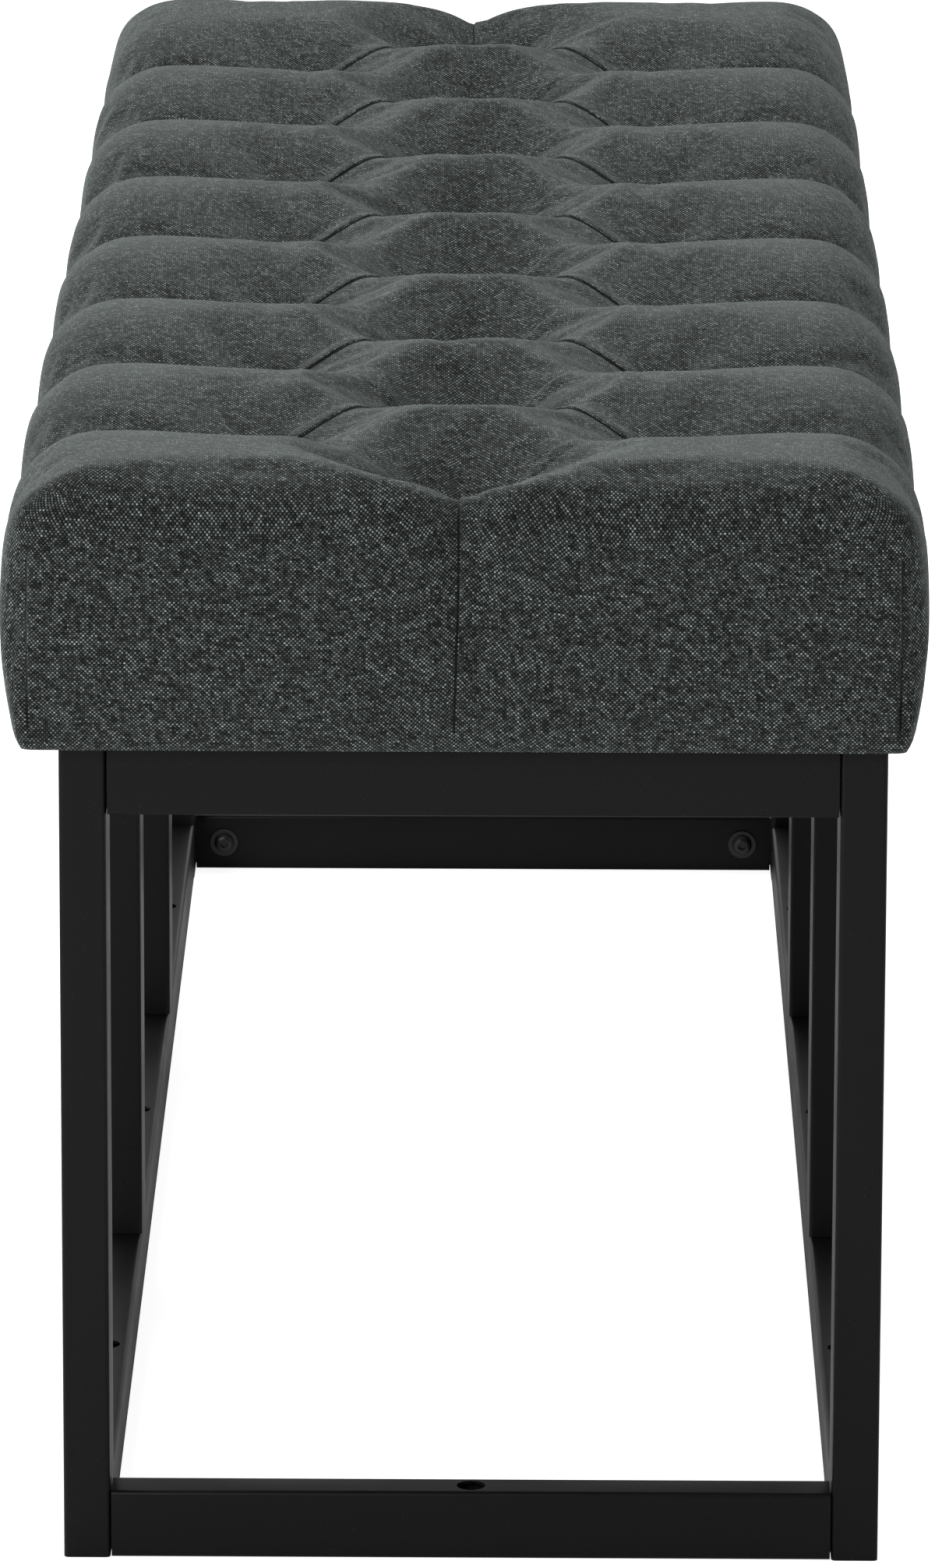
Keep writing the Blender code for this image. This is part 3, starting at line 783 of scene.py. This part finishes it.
def cloth_place(tables, x, y, middle_x, middle_y):
    """Places in the weave of places on the flat cut, measured along the surface from a patch's middle."""
    xs, ys, table_x, table_y = tables
    u = middle_x + read_table(table_x, xs, ys, x, y) - read_table(table_x, xs, ys, middle_x, y)
    v = middle_y + read_table(table_y, xs, ys, x, y) - read_table(table_y, xs, ys, x, middle_y)
    return np.stack([u, v], axis=1)


def lay_weave(mesh, tables):
    """Gives the cover its own map, in which the yarns run straight over each patch between the pleats."""
    counts = mesh_array(mesh, "polygons", "loop_total", 1).astype(int)
    owner = np.repeat(np.arange(len(counts)), counts)
    flat = np.empty(len(mesh.loops) * 2)
    mesh.uv_layers["flat"].data.foreach_get("uv", flat)
    flat = flat.reshape(-1, 2)
    centre = np.stack([np.bincount(owner, flat[:, axis]) / counts for axis in range(2)], axis=1)
    middle_x, middle_y = patch_of(centre[:, 0], centre[:, 1])
    place = cloth_place(tables, flat[:, 0], flat[:, 1], middle_x[owner], middle_y[owner])
    layer = mesh.uv_layers.new(name="cloth")
    layer.data.foreach_set("uv", place.astype(np.float32).ravel())
    layer.active_render = True
    mesh.uv_layers.active = layer


# ---------------------------------------------------------------- folded edges of the pleats

def diagonal_folds():
    """Runs along the sides of the diamonds. A stop is a start inside the cover, a way out and one across."""
    runs = []
    for number in range(1, PILLOWS):
        y = number * ROW_STEP - COVER_HALF_LENGTH
        for side in (-1, 1):
            for ahead in (-1, 1):
                start = Vector((TUFT_CENTRE + side * TUFT_SIDE, y, 0))
                stop = Vector((TUFT_CENTRE, y + ahead * ROW_STEP / 2, 0))
                across = Vector((stop.y - start.y, start.x - stop.x, 0)).normalized()
                if across.dot(Vector((side, ahead, 0))) < 0:
                    across.negate()
                runs.append(top_run(start, stop, across, 0.03, 0.97, 44))
    return runs


def top_run(start, stop, across, first, last, count):
    """Over the top of the cover, from one share of the way between two places to another."""
    inside = Vector((COVER_SHIFT, 0, SEAT_BASE + FOLD_START))
    shares = [first + (last - first) * number / count for number in range(count + 1)]
    return [(inside + start.lerp(stop, share), Vector((0, 0, 1)), across) for share in shares]


def side_folds():
    """The pleats from the outer tufts to the long sides and over their rounded edges."""
    runs = []
    for number in range(1, PILLOWS):
        y = number * ROW_STEP - COVER_HALF_LENGTH
        across = Vector((0, 1 if y > 0.01 else -1, 0))
        for side in (-1, 1):
            start = Vector((TUFT_CENTRE + side * TUFT_SIDE, y, 0))
            turn = Vector((side * (COVER_HALF_WIDTH - SIDE_SHOULDER), y, 0))
            run = top_run(start, turn, across, 0.03, 1.0, 34)
            run += bend_run(turn, Vector((side, 0, 0)), across, 80, 14)
            runs.append(run)
    return runs


def bend_run(turn, outward, across, last_angle, count):
    """Over a rounded edge, from straight up towards straight out."""
    centre = turn + Vector((COVER_SHIFT, 0, SEAT_BASE + SEAT_LOFT - BEND_START))
    run = []
    for number in range(1, count + 1):
        angle = math.radians(last_angle * number / count)
        run.append((centre, Vector((0, 0, math.cos(angle))) + outward * math.sin(angle), across))
    return run


def end_folds():
    """The pleat over the middle of each end, from the last tuft down to the hem."""
    runs = []
    stops = 24
    for end in (-1, 1):
        outward, across = Vector((0, end, 0)), Vector((1, 0, 0))
        tuft = Vector((TUFT_CENTRE, end * (COVER_HALF_LENGTH - ROW_STEP / 2), 0))
        turn = Vector((TUFT_CENTRE - 0.0005, end * (COVER_HALF_LENGTH - 0.024), 0))
        run = top_run(tuft, turn, across, 0.05, 1.0, 22) + bend_run(turn, outward, across, 90, 14)
        centre = run[-1][0]
        fall = centre.z - SEAT_BASE - 0.001
        for number in range(1, stops + 1):
            share = number / stops
            run.append((centre - Vector((0.002 * share, 0, fall * share)), outward, across))
        runs.append(run)
    return runs


def corner_folds():
    """The folded edge of each end panel down its two upright corners."""
    runs = []
    stops = 30
    for end in (-1, 1):
        outward = Vector((0, end, 0))
        for side in (-1, 1):
            x = side * (COVER_HALF_WIDTH - CORNER_FOLD_INSET) + COVER_SHIFT
            top = Vector((x, end * (COVER_HALF_LENGTH - 0.03), SEAT_BASE + CORNER_FOLD_TOP))
            fall = Vector((side * 0.0005, 0, -CORNER_FOLD_FALL))
            across = Vector((-side, 0, 0))
            runs.append([(top + fall * number / stops, outward, across) for number in range(stops + 1)])
    return runs


def on_the_cover(tree, run):
    """Where each stop of a run, and each line beside it, meets the cover: place, normal and face."""
    hits = []
    for origin, outward, across in run:
        row = []
        for sideways, _, _ in FOLD_PROFILE:
            start = origin + across * sideways
            place, normal, index, _ = tree.ray_cast(start, outward)
            if place is None:
                place, normal, index, _ = tree.find_nearest(start + outward * 0.03)
            row.append((place, normal, index))
        hits.append(row)
    return hits


def lay_fold(bm, surface, tables, run, tall, taper):
    """Lays one folded edge on the cover along a run, as a strip whose far side runs into the surface."""
    tree, cover, flat_layer = surface
    last = len(run) - 1
    lines = len(FOLD_PROFILE) - 1
    hits = on_the_cover(tree, run)
    strip = bmesh.ops.create_grid(bm, x_segments=last, y_segments=lines, size=1.0)["verts"]
    places = []
    flats = []
    shade = bm.verts.layers.float["seam_shadow"]
    for vertex in strip:
        along = round((vertex.co.x + 1) / 2 * last)
        aside = round((vertex.co.y + 1) / 2 * lines)
        place, _, index = hits[along][aside]
        window = hits[max(0, along - 2):along + 3]
        normal = sum((row[aside][1] for row in window), Vector()).normalized()
        faded = min(1.0, min(along, last - along) / taper)
        height = FOLD_PROFILE[aside][1] * tall - (1 - faded) * FOLD_SINK
        corners = cover.faces[index].loops
        weights = poly_3d_calc([loop.vert.co for loop in corners], place)
        shares = (loop[flat_layer].uv * weight for loop, weight in zip(corners, weights))
        flats.append(sum(shares, Vector((0, 0))))
        places.append(place + normal * height)
        vertex[shade] = FOLD_PROFILE[aside][2]
    flats = np.array(flats)
    middle = np.array(patch_of(*(flats.mean(axis=0) + into_patch(run))))
    laid = cloth_place(tables, flats[:, 0], flats[:, 1], *np.repeat(middle[:, None], len(flats), axis=1))
    layer = bm.loops.layers.uv["cloth"]
    for vertex, place, (u, v) in zip(strip, places, laid):
        vertex.co = place
        for loop in vertex.link_loops:
            loop[layer].uv = (u, v)


def into_patch(run):
    """A step on the flat cut from a fold's middle into the patch that the fold belongs to."""
    across = run[len(run) // 2][2]
    return np.array([across.x, across.y]) * 0.004


def make_folds(seat, tables):
    """All the folded edges as one piece. Each kind has its runs, its height and the stops it fades over."""
    cover = bmesh.new()
    cover.from_mesh(seat.data)
    cover.faces.ensure_lookup_table()
    surface = (BVHTree.FromBMesh(cover), cover, cover.loops.layers.uv["flat"])
    bm = bmesh.new()
    bm.loops.layers.uv.new("cloth")
    bm.verts.layers.float.new("seam_shadow")
    kinds = ((diagonal_folds(), 0.6, 8), (side_folds(), 0.7, 8),
             (end_folds(), 0.75, 3), (corner_folds(), 0.8, 3))
    for runs, tall, taper in kinds:
        for run in runs:
            lay_fold(bm, surface, tables, run, tall, taper)
    cover.free()
    bmesh.ops.recalc_face_normals(bm, faces=bm.faces[:])
    bmesh.ops.solidify(bm, geom=bm.faces[:], thickness=FOLD_CLOTH)
    return object_from_bmesh(bm, "pleat_folds", FABRIC)


# ---------------------------------------------------------------- underside

def make_dust_cloth_sheet():
    """The thin black cloth under the seat, a little loose between the places where it is stapled."""
    low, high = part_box("dust_cloth")
    wide, long = high.x - low.x, high.y - low.y
    middle = (low + high) / 2
    bm = bmesh.new()
    bmesh.ops.create_grid(bm, x_segments=60, y_segments=200, size=0.5)
    for vertex in bm.verts:
        across, along = vertex.co.x * 2, vertex.co.y * 2
        slack = (1 - across ** 6) * (1 - along ** 6)
        ripple = math.sin(along * 23 + across * 3.1) * math.sin(across * 6.5 + along * 4.0)
        vertex.co.x, vertex.co.y = middle.x + across * wide / 2, middle.y + along * long / 2
        sag = slack * (DUST_CLOTH_SAG + DUST_CLOTH_RIPPLE * ripple)
        vertex.co.z = high.z - DUST_CLOTH_THICKNESS - sag
    bmesh.ops.solidify(bm, geom=bm.faces[:], thickness=DUST_CLOTH_THICKNESS)
    sheet = object_from_bmesh(bm, "dust_cloth_sheet", DUST_CLOTH)
    return fit_on_body(sheet, "dust_cloth", "dust_cloth")


# ---------------------------------------------------------------- stage and camera

def make_floor():
    bm = bmesh.new()
    bmesh.ops.create_grid(bm, x_segments=2, y_segments=2, size=30.0)
    material, tree, sockets = new_material("studio_floor", specular=0.1)
    sockets["Base Color"].default_value = (0.86, 0.86, 0.86, 1)
    sockets["Roughness"].default_value = 0.9
    sockets["Emission Color"].default_value = (1, 1, 1, 1)
    seen = tree.nodes.new("ShaderNodeLightPath").outputs["Is Camera Ray"]
    wire(tree, sockets["Emission Strength"], spread(tree, seen, 0.0, 1.0, 0.12, 0.90))
    floor = object_from_bmesh(bm, "studio_floor", material)
    floor.location.z = -0.0004


def make_world():
    """White all round for the eye. The light it gives is bright behind the bench and dim in front of it."""
    world = bpy.data.worlds.new("studio")
    bpy.context.scene.world = world
    world.use_nodes = True
    tree = world.node_tree
    background = tree.nodes["Background"]
    direction = tree.nodes.new("ShaderNodeTexCoord").outputs["Generated"]
    split = tree.nodes.new("ShaderNodeSeparateXYZ")
    wire(tree, split.inputs[0], direction)
    behind = spread(tree, split.outputs[1], -0.6, 0.5, 0.05, 0.80)
    seen = tree.nodes.new("ShaderNodeLightPath").outputs["Is Camera Ray"]
    wire(tree, background.inputs["Color"], blend_colours(tree, seen, behind, (1.0, 1.0, 1.0, 1)))
    background.inputs["Strength"].default_value = 1.0


def make_area_light(name, place, aim, size, power):
    data = bpy.data.lights.new(name, "AREA")
    data.shape = "RECTANGLE"
    data.size, data.size_y = size
    data.energy = power
    lamp = link(bpy.data.objects.new(name, data))
    lamp.location = place
    lamp.rotation_euler = (Vector(aim) - Vector(place)).to_track_quat("-Z", "Y").to_euler()
    lamp.visible_camera = False
    return lamp


def make_camera():
    data = bpy.data.cameras.new("camera")
    data.sensor_fit = "VERTICAL"
    data.sensor_height = 36.0
    data.lens = CAMERA_LENS
    data.clip_end = 200.0
    camera = link(bpy.data.objects.new("camera", data))
    tilt, turn, roll = (math.radians(angle) for angle in (CAMERA_TILT, CAMERA_TURN, CAMERA_ROLL))
    heading = Matrix.Rotation(turn, 4, "Z") @ Matrix.Rotation(math.pi / 2 - tilt, 4, "X")
    camera.matrix_world = Matrix.Translation(CAMERA_PLACE) @ heading @ Matrix.Rotation(roll, 4, "Z")
    bpy.context.scene.camera = camera


def make_stage():
    scene = bpy.context.scene
    scene.view_settings.view_transform = "Standard"
    make_floor()
    make_world()
    make_area_light("top_softbox", (-0.5, 1.4, 2.5), (0, 0, 0.4), (1.9, 1.9), 30.0)
    make_area_light("front_softbox", (-1.7, -3.2, 1.7), (0, -0.4, 0.4), (1.4, 1.4), 54.0)
    make_camera()


# ---------------------------------------------------------------- the bench

make_stage()
make_steel_frame()
finish_small_nodes()
TABLES = length_tables()
seat = make_seat()
lay_weave(seat.data, TABLES)
folds = make_folds(seat, TABLES)
seat.data.uv_layers.remove(seat.data.uv_layers["flat"])
fit_on_body(folds, "woven_fabric")
fit_on_body(seat, "woven_fabric", "seat_cover", "foam_pad")
make_dust_cloth_sheet()
